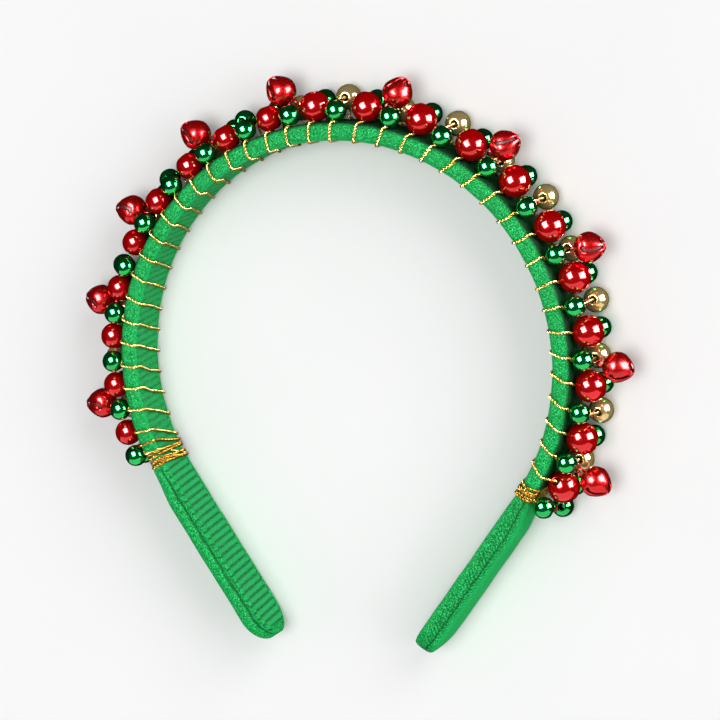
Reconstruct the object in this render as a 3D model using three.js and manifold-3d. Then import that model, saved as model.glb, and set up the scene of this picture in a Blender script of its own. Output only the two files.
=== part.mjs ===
// Christmas headband: a padded green band with a ribbed ribbon inside it, and turns of
// gold thread that bind beads and little bells along its outside.
// It lies on one long edge at Z = 0. Y points to the crown, X to the right, millimetres.
import * as THREE from "three";
import { mergeVertices } from "three/addons/utils/BufferGeometryUtils.js";
import Module from "manifold-3d";

const wasm = await Module();
wasm.setup();

// The band's path, taken along the inner face of the ribbon
const headRadius = 60.6;
const archDegrees = 124.4; // from the crown to the start of each straight leg
const legLength = 53;

// The band's section
const bandWidth = 16.5;
const woundThickness = 5; // the padding as the thread presses it
const legThickness = 6.3; // the padding as it springs back below the bindings
const shoulderRadius = 2.4; // rounding of the two outer edges
const innerEdgeRadius = 0.8;
const legCrown = 0.5; // how far the padding domes between its shoulders on a leg

// The ribbon, and the recess that it lies in
const ribbonMargin = 1.75; // from each edge of the band to the ribbon
const ribbonThickness = 1;
const fitGap = 0.3;

// The rounded end of each leg, as shares of the leg's own sizes
const tipLength = 8;
const tipRows = [
  { at: 0, width: 1, thickness: 1 },
  { at: 0.35, width: 0.94, thickness: 0.97 },
  { at: 0.65, width: 0.78, thickness: 0.9 },
  { at: 0.87, width: 0.52, thickness: 0.78 },
  { at: 1, width: 0.24, thickness: 0.6 },
];
const ribbonEndShare = 0.65; // the ribbon stops at this share of the tip

// The beads, and how the thread packs them: each turn carries one near bead and one far bead
const redRadius = 4.2; // the two reds beside the crown
const leftRedRadius = 3.65; // the other reds are smaller on the left and larger on the right
const rightRedRadius = 4.4;
const greenRadius = 3;
const goldRadius = 3.5;
const threadRadius = 0.4;
const seatGap = 0.15;
const floorGap = 0.1;
const turnsPerSide = 20;
const leftPacking = 1.04; // spacing of turns as a share of a red and a green bead side by side
const rightPacking = 1.087; // on the right the turns lie closer and closer to the binding
const rightEndPacking = 0.962;
const crownShift = -1.6; // where the first turn lies, left of the crown
const redInset = 1.3; // from the near edge of the band to the side of a red bead
const greenOverhang = 0.3; // how far a green bead stands past the near edge
const farLift = 2.45; // far beads ride up on the thread
const farLiftUnderBell = 0.75;
const middleGreenTurns = [-4, -8, -12]; // here the second bead is green and sits on the middle
const middleShare = 0.5; // of the band's width
const middleLift = 3.45;

// The bindings that end the winding
const bindingCoils = 5;
const leftBindingShift = 3; // from the last turn to the middle of the binding
const rightBindingShift = -0.8;
const legBlend = 12; // the length in which the padding springs back

// The bells: small shells with a wire loop at the root, and a long slit at the mouth that a
// short one crosses
const bellRadius = 4.2;
const bellWall = 0.5;
const bellSlit = 0.7;
const bellShare = 0.58; // of the band's width
const loopRadius = 1.1;
const bellProfile = [
  { along: -1, out: 0 },
  { along: -0.74, out: 0.67 },
  { along: -0.05, out: 1 },
  { along: 0.62, out: 0.78 },
  { along: 1.08, out: 0 },
];
const bellSlitShare = -0.05; // the long slit runs from the mouth down to here
const bellCrossShare = 0.55; // and the short one to here
// Which turn carries each bell, how far along the band it has slid from there, and in degrees
// how it leans along and across the band and turns
const bellRows = [
  { turn: -18, slid: 2.1, lean: 10, tip: 6, spin: 75 },
  { turn: -14, slid: 1.7, lean: 0, tip: -6, spin: 70 },
  { turn: -10, slid: -0.3, lean: -24, tip: 10, spin: 92 },
  { turn: -6, slid: -0.9, lean: -20, tip: 12, spin: 62 },
  { turn: -2, slid: -2, lean: -28, tip: 10, spin: 50 },
  { turn: 2, slid: -0.6, lean: 20, tip: 0, spin: 40 },
  { turn: 6, slid: -0.2, lean: 24, tip: 8, spin: 62 },
  { turn: 10, slid: 1.7, lean: 20, tip: 8, spin: 88 },
  { turn: 14, slid: 2, lean: 14, tip: 0, spin: 122 },
  { turn: 18, slid: 1.8, lean: 8, tip: -2, spin: 120 },
];

// How finely round things are cut
const ballSides = 10;
const ballBands = 5;
const farBallBands = 4;
const wireSides = 5;
const loopSides = 6;
const shoulderSteps = 3;
const archStep = 9;

const archLength = THREE.MathUtils.degToRad(archDegrees) * headRadius;
const sideLength = archLength + legLength;
const bindingWidth = bindingCoils * 2 * threadRadius;
const bindingThickness = 2 * threadRadius - seatGap;
const waistPinch = bindingThickness + seatGap + floorGap; // a binding lies flush in its waist

const materials = {
  cloth: new THREE.MeshStandardMaterial({ color: 0x1aa253, roughness: 0.9 }),
  ribbon: new THREE.MeshStandardMaterial({ color: 0x158f49, roughness: 0.85 }),
  thread: new THREE.MeshStandardMaterial({ color: 0xc9952c, roughness: 0.35, metalness: 0.9 }),
  red: new THREE.MeshStandardMaterial({ color: 0xa80712, roughness: 0.12, metalness: 0.3 }),
  green: new THREE.MeshStandardMaterial({ color: 0x07602b, roughness: 0.12, metalness: 0.7 }),
  gold: new THREE.MeshStandardMaterial({ color: 0xcdb67c, roughness: 0.15, metalness: 1 }),
  bell: new THREE.MeshStandardMaterial({ color: 0xb3060f, roughness: 0.2, metalness: 0.9 }),
};

// A point of the band: its distance along the path from the crown (right is positive), its
// distance out from the inner face, and its height above the edge that the band lies on
function bandPoint(along, out, height) {
  const side = Math.sign(along) || 1;
  const reach = Math.abs(along);
  const angle = Math.min(reach, archLength) / headRadius;
  const straight = Math.max(reach - archLength, 0);
  const radius = headRadius + out;
  return new THREE.Vector3(
    side * (radius * Math.sin(angle) + straight * Math.cos(angle)),
    radius * Math.cos(angle) - straight * Math.sin(angle),
    height,
  );
}

// The directions at a point of the band: outward, forward along the path, and up
function bandAxes(along) {
  const outward = bandPoint(along, 1, 0).sub(bandPoint(along, 0, 0));
  const up = new THREE.Vector3(0, 0, 1);
  return { outward, forward: outward.clone().cross(up), up };
}

// Solids made from three.js geometry, and geometry made from solids
function solidOf(geometry) {
  const bare = new THREE.BufferGeometry();
  bare.setAttribute("position", geometry.getAttribute("position").clone());
  bare.setIndex(geometry.index);
  const merged = mergeVertices(bare, 1e-4);
  return new wasm.Manifold(
    new wasm.Mesh({
      numProp: 3,
      vertProperties: merged.getAttribute("position").array,
      triVerts: new Uint32Array(merged.index.array),
    }),
  );
}

function geometryOf(solid) {
  const mesh = solid.getMesh();
  const geometry = new THREE.BufferGeometry();
  geometry.setAttribute("position", new THREE.BufferAttribute(mesh.vertProperties, 3));
  geometry.setIndex(new THREE.BufferAttribute(mesh.triVerts, 1));
  geometry.computeVertexNormals();
  return geometry;
}

// A skin over rings of points with the same count. It is capped at both ends, or joins up.
function skin(rings, joinsUp = false) {
  const count = rings[0].length;
  const points = rings.flat();
  const faces = [];
  const spans = joinsUp ? rings.length : rings.length - 1;
  for (let i = 0; i < spans; i++) {
    const here = i * count;
    const next = ((i + 1) % rings.length) * count;
    for (let j = 0; j < count; j++) {
      const k = (j + 1) % count;
      faces.push(here + j, here + k, next + k, here + j, next + k, next + j);
    }
  }
  if (!joinsUp) {
    const last = (rings.length - 1) * count;
    const middle = (ring) =>
      ring.reduce((sum, p) => sum.add(p), new THREE.Vector3()).divideScalar(count);
    const startMiddle = points.push(middle(rings[0])) - 1;
    const endMiddle = points.push(middle(rings.at(-1))) - 1;
    for (let j = 0; j < count; j++) {
      const k = (j + 1) % count;
      faces.push(startMiddle, k, j, endMiddle, last + j, last + k);
    }
  }
  const geometry = new THREE.BufferGeometry().setFromPoints(points);
  geometry.setIndex(faces);
  geometry.computeVertexNormals();
  return geometry;
}

// The turns of thread, counted from the crown, and the bindings past the last of them
function turnAlong(turn) {
  const [red, first, last] =
    turn < 0
      ? [leftRedRadius, leftPacking, leftPacking]
      : [rightRedRadius, rightPacking, rightEndPacking];
  const share = Math.abs(turn) / turnsPerSide;
  const packing = first + ((last - first) * share) / 2; // the mean of all spacings up to here
  return crownShift + (turn * packing * (red + greenRadius) * headRadius) / ringRadius(red);
}

// The radius of the ring on which the beads of a size lie round the head
function ringRadius(radius) {
  return headRadius + woundThickness + seatGap + radius;
}

const bindingAlong = {
  left: Math.abs(turnAlong(-turnsPerSide)) + leftBindingShift,
  right: turnAlong(turnsPerSide) + rightBindingShift,
};

// The shares of width and thickness that the rounding of a tip leaves
function tipShares(reach) {
  const at = 1 - (sideLength - reach) / tipLength;
  const past = tipRows.findIndex((row) => row.at >= at - 1e-6);
  const [a, b] = [tipRows[Math.max(past - 1, 0)], tipRows[past]];
  const share = a === b ? 1 : (at - a.at) / (b.at - a.at);
  return {
    at,
    width: THREE.MathUtils.lerp(a.width, b.width, share),
    thickness: THREE.MathUtils.lerp(a.thickness, b.thickness, share),
  };
}

// The size of the padded band at a place along its path: wound, pinched under a binding, or
// sprung back on a leg
function bandSize(along) {
  const reach = Math.abs(along);
  const past = reach - (along < 0 ? bindingAlong.left : bindingAlong.right);
  const tip = tipShares(reach);
  const woundShare = THREE.MathUtils.clamp((-bindingWidth / 2 - past) / fitGap, 0, 1);
  const legShare = THREE.MathUtils.clamp((past - bindingWidth / 2) / legBlend, 0, 1);
  const pinch = waistPinch * (1 - woundShare - legShare);
  const spring = (legThickness - woundThickness) * legShare;
  const thickness = (woundThickness + spring - pinch) * tip.thickness;
  const width = (bandWidth - 2 * pinch) * tip.width;
  const edge = Math.min(innerEdgeRadius, thickness * 0.2);
  const ribbonHalf = width / 2 - ribbonMargin;
  const recessed = tip.at < ribbonEndShare + 1e-6;
  return {
    thickness,
    width,
    edge,
    crown: legCrown * legShare * tip.width,
    ribbonHalf,
    lip: recessed ? ribbonHalf + fitGap : (width / 2 - edge) * 0.8,
    recess: recessed ? ribbonThickness + fitGap : seatGap,
  };
}

// The band's outline round its section, from its inner face, offset outwards all round.
// Each point gives the distance out and the distance across from the middle.
function sectionOutline(size, offset) {
  const half = size.width / 2 + offset;
  const top = size.thickness + offset;
  const shoulder = Math.min(shoulderRadius, size.thickness * 0.4, size.width * 0.4) + offset;
  const edge = size.edge + offset;
  const shoulderPoints = Array.from({ length: shoulderSteps + 1 }, (_, i) => {
    const angle = (i / shoulderSteps) * (Math.PI / 2);
    return [top - shoulder * (1 - Math.sin(angle)), half - shoulder * (1 - Math.cos(angle))];
  });
  return [
    [-offset, -half + edge],
    [size.edge, -half],
    ...shoulderPoints.map(([out, across]) => [out, -across]),
    [top + size.crown, 0],
    ...shoulderPoints.toReversed(),
    [size.edge, half],
    [-offset, half - edge],
  ];
}

// Where the band is measured: evenly round the arch, and closely at the bindings and tips
function bandStations() {
  const sideStations = (binding) => {
    const half = bindingWidth / 2;
    const arch = [];
    const steps = Math.round((binding - half - fitGap) / archStep);
    for (let i = 1; i <= steps; i++) arch.push(((binding - half - fitGap) * i) / steps);
    const leg = [binding - half, binding + half, archLength, binding + half + legBlend];
    const tip = tipRows.map((row) => sideLength - tipLength * (1 - row.at));
    return [...arch, ...leg, ...tip].sort((a, b) => a - b);
  };
  const left = sideStations(bindingAlong.left).map((along) => -along);
  return [...left.reverse(), 0, ...sideStations(bindingAlong.right)];
}

const stations = bandStations();
const middleHeight = bandWidth / 2;

// The padded band, with a shallow recess along its inner face for the ribbon
function coverGeometry() {
  const rings = stations.map((along) => {
    const size = bandSize(along);
    const outline = [
      ...sectionOutline(size, 0),
      [0, size.lip],
      [size.recess, size.lip],
      [size.recess, -size.lip],
      [0, -size.lip],
    ];
    return outline.map(([out, across]) => bandPoint(along, out, middleHeight + across));
  });
  return skin(rings);
}

// The ribbon that lines the band
function ribbonGeometry() {
  const end = sideLength - tipLength * (1 - ribbonEndShare);
  const rings = stations
    .filter((along) => Math.abs(along) <= end + 1e-6)
    .map((along) => {
      const { ribbonHalf } = bandSize(along);
      return [
        bandPoint(along, 0, middleHeight - ribbonHalf),
        bandPoint(along, ribbonThickness, middleHeight - ribbonHalf),
        bandPoint(along, ribbonThickness, middleHeight + ribbonHalf),
        bandPoint(along, 0, middleHeight + ribbonHalf),
      ];
    });
  return skin(rings);
}

// A binding: coils of thread side by side, drawn tight round the waist of the band
function bindingGeometry(along) {
  const size = bandSize(along);
  const side = Math.sign(along);
  const half = bindingWidth / 2;
  const profile = [
    [-half, 0],
    [-half, bindingThickness],
    [half, bindingThickness],
    [half, 0],
  ];
  const inner = sectionOutline(size, seatGap);
  const outer = sectionOutline(size, seatGap + bindingThickness);
  const rings = inner.map((low, i) =>
    profile.map(([shift, lift]) => {
      const share = lift / bindingThickness;
      const out = THREE.MathUtils.lerp(low[0], outer[i][0], share);
      const across = THREE.MathUtils.lerp(low[1], outer[i][1], share);
      return bandPoint(along + side * shift, out, middleHeight + across);
    }),
  );
  return skin(side > 0 ? rings.reverse() : rings, true);
}

// How far out a ball must sit at a given height to clear the band and the balls beside it.
// A neighbour on another turn also has a sideways distance.
function seatOut(radius, height, neighbours = []) {
  const shoulderHeight = bandWidth - shoulderRadius;
  const over = Math.max(height - shoulderHeight, 0);
  const reach = shoulderRadius + seatGap + radius;
  let out = woundThickness - shoulderRadius + Math.sqrt(Math.max(reach ** 2 - over ** 2, 0));
  for (const other of neighbours) {
    const clear = radius + other.radius + fitGap;
    const sideways = other.sideways ?? 0;
    const room = clear ** 2 - (height - other.height) ** 2 - sideways ** 2;
    if (room > 0) out = Math.max(out, other.out + Math.sqrt(room));
  }
  return out;
}

// The beads of one turn: reds on odd turns and greens on even ones, with a smaller green or a
// gold one behind. The last turn of a side carries two greens.
const bellTurns = new Set(bellRows.map((row) => row.turn));

function redRadiusOf(turn) {
  if (Math.abs(turn) === 1) return redRadius;
  return turn < 0 ? leftRedRadius : rightRedRadius;
}

function nearBead(turn) {
  const red = turn % 2 !== 0;
  const radius = red ? redRadiusOf(turn) : greenRadius;
  const height = red ? bandWidth - redInset - radius : bandWidth + greenOverhang - radius;
  return { kind: red ? "red" : "green", radius, height, out: seatOut(radius, height), turn };
}

function farBead(turn) {
  const near = nearBead(turn);
  if (middleGreenTurns.includes(turn)) {
    const height = bandWidth * middleShare;
    const out = Math.max(
      woundThickness + seatGap + greenRadius + middleLift,
      seatOut(greenRadius, height, [near]),
    );
    return { kind: "green", radius: greenRadius, height, out, turn };
  }
  const small = near.kind === "red" || Math.abs(turn) === turnsPerSide;
  const kind = small ? "green" : "gold";
  const radius = kind === "gold" ? goldRadius : greenRadius;
  const height = radius + floorGap;
  const lift = bellTurns.has(turn) ? farLiftUnderBell : farLift;
  const out = Math.max(woundThickness + seatGap + radius + lift, seatOut(radius, height, [near]));
  return { kind, radius, height, out, turn };
}

function placeOf(bead) {
  return bandPoint(turnAlong(bead.turn), bead.out, bead.height);
}

function ball(radius, bands = ballBands) {
  return new THREE.SphereGeometry(radius, ballSides, bands);
}

// A row of far beads, fused along the thread that runs through them
function farRowGeometry(turns) {
  const beads = turns.map(farBead);
  const link = (from, to) => {
    const reach = to.clone().sub(from);
    const rod = new THREE.CylinderGeometry(threadRadius, threadRadius, reach.length(), wireSides);
    const turned = new THREE.Quaternion().setFromUnitVectors(
      new THREE.Vector3(0, 1, 0),
      reach.clone().normalize(),
    );
    rod.applyQuaternion(turned);
    return rod.translate(...from.clone().add(to).multiplyScalar(0.5));
  };
  const pieces = beads.map((bead) => {
    const round = ball(bead.radius, farBallBands);
    return solidOf(round.translate(...placeOf(bead)));
  });
  for (let i = 1; i < beads.length; i++) {
    pieces.push(solidOf(link(placeOf(beads[i - 1]), placeOf(beads[i]))));
  }
  return geometryOf(pieces.reduce((all, piece) => all.add(piece)));
}

// A bell with its root at the lower end and its mouth up the Y axis
function bellGeometry() {
  const turnedShell = (radius) =>
    new THREE.LatheGeometry(
      bellProfile.map((row) => new THREE.Vector2(row.out * radius, row.along * radius)),
      ballSides,
    );
  const slit = (angle, from) => {
    const blade = new THREE.BoxGeometry(3 * bellRadius, 2 * bellRadius, bellSlit);
    return blade.translate(0, (1 + from) * bellRadius, 0).rotateY(angle);
  };
  const loop = new THREE.TorusGeometry(loopRadius, threadRadius, wireSides, loopSides);
  loop.translate(0, -bellRadius - loopRadius * 0.5, 0);
  const hollow = solidOf(turnedShell(bellRadius - bellWall));
  const shell = solidOf(turnedShell(bellRadius))
    .add(solidOf(loop))
    .subtract(hollow)
    .subtract(solidOf(slit(0, bellSlitShare)))
    .subtract(solidOf(slit(Math.PI / 2, bellCrossShare)));
  return geometryOf(shell);
}

// Where a bell sits: high on the thread, against the beads of its own turn and of those beside it
function bellSeat(row) {
  const along = turnAlong(row.turn) + row.slid;
  const height = bandWidth * bellShare;
  const turns = [row.turn - 1, row.turn, row.turn + 1];
  const beside = turns.flatMap((turn) => [nearBead(turn), farBead(turn)]);
  const neighbours = beside.map((bead) => {
    const apart = Math.abs(along - turnAlong(bead.turn));
    return { ...bead, sideways: (apart * ringRadius(bead.radius)) / headRadius };
  });
  return { along, height, out: seatOut(bellRadius, height, neighbours) };
}

function bellTurnedTo(row, along) {
  const { outward, forward, up } = bandAxes(along);
  const frame = new THREE.Matrix4().makeBasis(forward, outward, up.clone());
  const turn = (axis, degrees) =>
    new THREE.Quaternion().setFromAxisAngle(axis, THREE.MathUtils.degToRad(degrees));
  return turn(up, -row.lean)
    .multiply(turn(forward, row.tip))
    .multiply(new THREE.Quaternion().setFromRotationMatrix(frame))
    .multiply(turn(new THREE.Vector3(0, 1, 0), row.spin));
}

function named(name, geometry, material) {
  const mesh = new THREE.Mesh(geometry, material.clone());
  mesh.name = name;
  return mesh;
}

function sideName(turn) {
  return turn < 0 ? "left" : "right";
}

// The assembly
const headband = new THREE.Group();

const band = new THREE.Group();
band.add(named("band_cover", coverGeometry(), materials.cloth));
band.add(named("ribbon_lining", ribbonGeometry(), materials.ribbon));
band.add(named("binding_left", bindingGeometry(-bindingAlong.left), materials.thread));
band.add(named("binding_right", bindingGeometry(bindingAlong.right), materials.thread));
headband.add(band);

const nearRow = new THREE.Group();
for (let turn = -turnsPerSide; turn <= turnsPerSide; turn++) {
  const bead = nearBead(turn);
  const place = turn === 0 ? "crown" : `${sideName(turn)}_${Math.ceil(Math.abs(turn) / 2)}`;
  const mesh = named(`${bead.kind}_bead_${place}`, ball(bead.radius), materials[bead.kind]);
  mesh.position.copy(placeOf(bead));
  nearRow.add(mesh);
}
headband.add(nearRow);

const farRow = new THREE.Group();
const sideTurns = Array.from({ length: turnsPerSide }, (_, i) => i + 1);
const leftTurns = [0, ...sideTurns.map((turn) => -turn)];
farRow.add(named("far_row_left", farRowGeometry(leftTurns), materials.gold));
farRow.add(named("far_row_right", farRowGeometry(sideTurns), materials.gold));
headband.add(farRow);

const bells = new THREE.Group();
bellRows.forEach((row) => {
  const seat = bellSeat(row);
  const order = (Math.abs(row.turn) + 2) / 4;
  const mesh = named(`bell_${sideName(row.turn)}_${order}`, bellGeometry(), materials.bell);
  mesh.quaternion.copy(bellTurnedTo(row, seat.along));
  mesh.position.copy(bandPoint(seat.along, seat.out, seat.height));
  bells.add(mesh);
});
headband.add(bells);

// The origin is the middle of the floor that the headband covers
const bounds = new THREE.Box3().setFromObject(headband, true);
const middle = bounds.getCenter(new THREE.Vector3());
headband.position.set(-middle.x, -middle.y, -bounds.min.z);

export default headband;
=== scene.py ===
# %% [markdown]
# # Dressing a Christmas headband
# The plain solids of the headband are already made, at their real size and in their places.
# This lesson gives them their real surfaces: velvet, ribbed ribbon, twisted gold thread, glossy
# beads and little bells. Lengths are in millimetres until a mesh is made.

# %% Load the frame
import math
import random

import bpy
import numpy as np
from mathutils import Matrix, Vector


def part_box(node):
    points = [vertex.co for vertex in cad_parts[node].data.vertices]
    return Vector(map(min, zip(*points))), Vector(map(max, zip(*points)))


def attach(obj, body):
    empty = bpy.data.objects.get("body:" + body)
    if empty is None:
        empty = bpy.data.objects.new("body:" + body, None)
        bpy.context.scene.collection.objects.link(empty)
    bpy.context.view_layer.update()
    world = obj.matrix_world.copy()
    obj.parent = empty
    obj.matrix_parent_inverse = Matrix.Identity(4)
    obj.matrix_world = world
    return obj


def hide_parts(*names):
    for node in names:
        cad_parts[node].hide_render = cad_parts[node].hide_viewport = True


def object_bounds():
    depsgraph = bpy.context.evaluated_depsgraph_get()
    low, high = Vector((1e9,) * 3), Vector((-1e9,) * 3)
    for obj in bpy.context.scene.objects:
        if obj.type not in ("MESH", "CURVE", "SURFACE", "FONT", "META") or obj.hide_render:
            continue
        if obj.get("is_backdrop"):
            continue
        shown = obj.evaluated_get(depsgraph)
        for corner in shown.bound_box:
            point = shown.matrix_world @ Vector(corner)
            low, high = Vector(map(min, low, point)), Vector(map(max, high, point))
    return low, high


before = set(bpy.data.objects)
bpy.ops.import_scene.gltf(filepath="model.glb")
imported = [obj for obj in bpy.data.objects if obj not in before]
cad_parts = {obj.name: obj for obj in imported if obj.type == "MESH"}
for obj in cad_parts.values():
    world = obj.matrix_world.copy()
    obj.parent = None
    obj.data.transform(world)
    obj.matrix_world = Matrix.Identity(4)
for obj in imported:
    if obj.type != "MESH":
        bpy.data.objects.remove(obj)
cad_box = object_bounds()
MM = 0.001
nodes = sorted(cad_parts)
print("solids to dress:", len(nodes))

# %% [markdown]
# ## The path of the band
# Every piece follows one curve, the inner face of the band: most of a circle, and a straight
# leg on each side. The green beads of the arch lie on a circle too, so three of them give its
# centre.

# %% Find the centre of the arch
HEAD_RADIUS = 60.6
ARCH_LENGTH = math.radians(124.4) * HEAD_RADIUS
LEG_LENGTH = 53.0
SIDE_LENGTH = ARCH_LENGTH + LEG_LENGTH


def middle_of(node):
    low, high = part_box(node)
    return (low + high) / 2 / MM


def centre_of_circle(a, b, c):
    rows = np.array([[b.x - a.x, b.y - a.y], [c.x - a.x, c.y - a.y]]) * 2
    squares = np.array([b.xy.length_squared, c.xy.length_squared]) - a.xy.length_squared
    return Vector(np.linalg.solve(rows, squares))


arch_beads = [f"green_bead_{place}" for place in ("left_8", "crown", "right_8")]
arch_centre = centre_of_circle(*map(middle_of, arch_beads))
print(f"arch centre {arch_centre.x:.2f}, {arch_centre.y:.2f} mm")

# %% [markdown]
# A place on the band is three numbers or arrays: how far along the path from the crown (to the
# right is positive), how far out from the inner face, and how high above the floor.

# %% Places on the band
BAND_WIDTH = 16.5
MIDDLE = BAND_WIDTH / 2


def band_point(along, out, height):
    numbers = [np.asarray(number, float) for number in (along, out, height)]
    along, out, height = np.broadcast_arrays(*numbers)
    side = np.where(along < 0, -1.0, 1.0)
    reach = np.abs(along)
    angle = np.minimum(reach, ARCH_LENGTH) / HEAD_RADIUS
    straight = np.maximum(reach - ARCH_LENGTH, 0)
    radius = HEAD_RADIUS + out
    x = arch_centre.x + side * (radius * np.sin(angle) + straight * np.cos(angle))
    y = arch_centre.y + radius * np.cos(angle) - straight * np.sin(angle)
    return np.stack([x, y, height], axis=-1)


def band_axes(along):
    outward = Vector(band_point(along, 1, 0) - band_point(along, 0, 0))
    up = Vector((0, 0, 1))
    return outward, outward.cross(up), up


def along_of(place):
    """How far along the path a place beside the band is."""
    x, y = place.x - arch_centre.x, place.y - arch_centre.y
    side = -1 if x < 0 else 1
    angle = math.atan2(abs(x), y)
    end = ARCH_LENGTH / HEAD_RADIUS
    if angle <= end:
        return side * angle * HEAD_RADIUS
    return side * (ARCH_LENGTH + abs(x) * math.cos(end) - y * math.sin(end))


# %% [markdown]
# ## The turns of thread
# The thread goes round the band once for every near bead, so the beads give its turns. They
# are numbered from the crown, negative to the left. Odd turns have red beads, even ones green.

# %% Read the turns from the near beads
TURNS = range(-20, 21)
SPARE_TURNS = 4
RED_RADII = {"left": 3.65, "crown": 4.2, "right": 4.4}
GREEN_RADIUS, GOLD_RADIUS = 3.0, 3.5


def side_of(turn):
    return "left" if turn < 0 else "right"


def near_colour(turn):
    return "red" if turn % 2 else "green"


def near_radius(turn):
    if near_colour(turn) == "green":
        return GREEN_RADIUS
    return RED_RADII["crown" if abs(turn) == 1 else side_of(turn)]


def near_node(turn):
    if turn == 0:
        return "green_bead_crown"
    return f"{near_colour(turn)}_bead_{side_of(turn)}_{math.ceil(abs(turn) / 2)}"


near_places = {turn: middle_of(near_node(turn)) for turn in TURNS}
turn_along = {turn: along_of(place) for turn, place in near_places.items()}

# The spacing goes on past the last turns, for the thread that leaves them
turn_list = np.arange(TURNS[0] - SPARE_TURNS, TURNS[-1] + SPARE_TURNS + 1)
inside = turn_list.clip(TURNS[0], TURNS[-1])
past = turn_list - inside
left_step = turn_along[-19] - turn_along[-20]
right_step = turn_along[20] - turn_along[19]
along_list = np.array([turn_along[turn] for turn in inside])
along_list += past * np.where(past < 0, left_step, right_step)


def along_at(turn):
    """The place of a turn along the path, for whole turns and for those between them."""
    return np.interp(turn, turn_list, along_list)


def turn_at(along):
    return np.interp(along, along_list, turn_list)


steps = np.diff(along_list)
print(f"turns {steps.min():.2f} to {steps.max():.2f} mm apart")

# %% [markdown]
# The second bead of a turn lies behind the near one, close to the floor. It is a small green
# on the odd turns and on the last of each side, and a gold on the other even ones. On three
# turns of the left side it is a green that rides up to the middle of the band. Bells hang on
# every fourth turn.

# %% Seats of the far beads and the bells
MIDDLE_GREEN_TURNS = (-4, -8, -12)
MIDDLE_GREEN_SHIFT = -1.0
# The colour of a far bead, its radius, how far out it sits and how high
FAR_SEATS = {
    "middle green": ("green", GREEN_RADIUS, 10.9, MIDDLE),
    "low green": ("green", GREEN_RADIUS, 10.6, 3.1),
    "gold": ("gold", GOLD_RADIUS, 11.1, 3.6),
    "gold by a bell": ("gold", GOLD_RADIUS, 9.4, 3.6),
}
# For each bell, its turn, how far it has slid from there along the band, and how it leans along
# and across the band and turns, in degrees
BELL_COLUMNS = ("turn", "slid", "lean", "tip", "spin")
BELL_TABLE = [
    (-18, 2.1, 10, 6, 75),
    (-14, 1.7, 0, -6, 70),
    (-10, -0.3, -24, 10, 92),
    (-6, -0.9, -20, 12, 62),
    (-2, -2.0, -28, 10, 50),
    (2, -0.6, 20, 0, 40),
    (6, -0.2, 24, 8, 62),
    (10, 1.7, 20, 8, 88),
    (14, 2.0, 14, 0, 122),
    (18, 1.8, 8, -2, 120),
]
BELL_ROWS = [dict(zip(BELL_COLUMNS, row)) for row in BELL_TABLE]
bell_turns = {row["turn"] for row in BELL_ROWS}


def far_seat(turn):
    if turn in MIDDLE_GREEN_TURNS:
        return FAR_SEATS["middle green"]
    if turn % 2 or abs(turn) == TURNS[-1]:
        return FAR_SEATS["low green"]
    return FAR_SEATS["gold by a bell" if turn in bell_turns else "gold"]


def far_along(turn):
    return along_at(turn) + MIDDLE_GREEN_SHIFT * (turn in MIDDLE_GREEN_TURNS)


far_places = {turn: Vector(band_point(far_along(turn), *far_seat(turn)[2:])) for turn in TURNS}

# %% [markdown]
# ## Making meshes
# Every piece is a skin over rows of points. It rides on the frame.

# %% Mesh helpers
def grid_faces(rows, columns, close_rows=False, close_columns=False):
    """Quads over a grid of points. A closed grid joins its last row or column to the first."""
    grid = np.arange(rows * columns).reshape(rows, columns)
    if close_rows:
        grid = np.vstack([grid, grid[:1]])
    if close_columns:
        grid = np.hstack([grid, grid[:, :1]])
    corners = (grid[:-1, :-1], grid[:-1, 1:], grid[1:, 1:], grid[1:, :-1])
    return np.stack(corners, axis=-1).reshape(-1, 4).tolist()


def fan_faces(ring_start, count, middle, turned=False):
    ring = [(ring_start + i, ring_start + (i + 1) % count) for i in range(count)]
    return [(middle, b, a) if turned else (middle, a, b) for a, b in ring]


def join(parts):
    """One list of points and faces out of several."""
    points, faces, start = [], [], 0
    for part_points, part_faces in parts:
        points.append(np.asarray(part_points, float).reshape(-1, 3))
        faces += [[i + start for i in face] for face in part_faces]
        start += len(points[-1])
    return np.concatenate(points), faces


def circle(count):
    """Even angles once round."""
    return np.linspace(0, 2 * np.pi, count, endpoint=False)


def ring_points(radius, turn, height):
    """Points round Z, from numbers or arrays that fit together."""
    parts = (radius * np.cos(turn), radius * np.sin(turn), height)
    return np.stack(np.broadcast_arrays(*parts), axis=-1)


def add_object(name, data):
    made = bpy.data.objects.new(name, data)
    bpy.context.collection.objects.link(made)
    return made


def make_piece(name, points, faces, material, slot, replaced=(), surface=None, girth=0):
    """A piece of the headband, from points in millimetres. A closed section gives its girth, so
    that its map goes on over the closing faces."""
    mesh = bpy.data.meshes.new(name)
    mesh.from_pydata((np.asarray(points) * MM).tolist(), [], faces)
    if surface is not None:
        layer = mesh.uv_layers.new(name="surface")
        corner = np.empty(len(mesh.loops), int)
        mesh.loops.foreach_get("vertex_index", corner)
        uv = np.asarray(surface, float)[corner]
        if girth:
            face = np.repeat(np.arange(len(faces)), [len(f) for f in faces])
            furthest = np.zeros(len(faces))
            np.maximum.at(furthest, face, uv[:, 1])
            uv[:, 1] += girth * (furthest[face] - uv[:, 1] > girth / 2)
        layer.data.foreach_set("uv", uv.ravel())
    mesh.shade_smooth()
    mesh.materials.append(material)
    piece = add_object(name, mesh)
    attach(piece, "root")
    if replaced:
        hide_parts(*replaced)
    return piece


# %% [markdown]
# ## Shader sums as Python sums
# A material is a graph of nodes. Wrapping a socket in a small class lets the graph be written
# as a sum: adding, taking away and multiplying each add one Math node.

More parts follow.
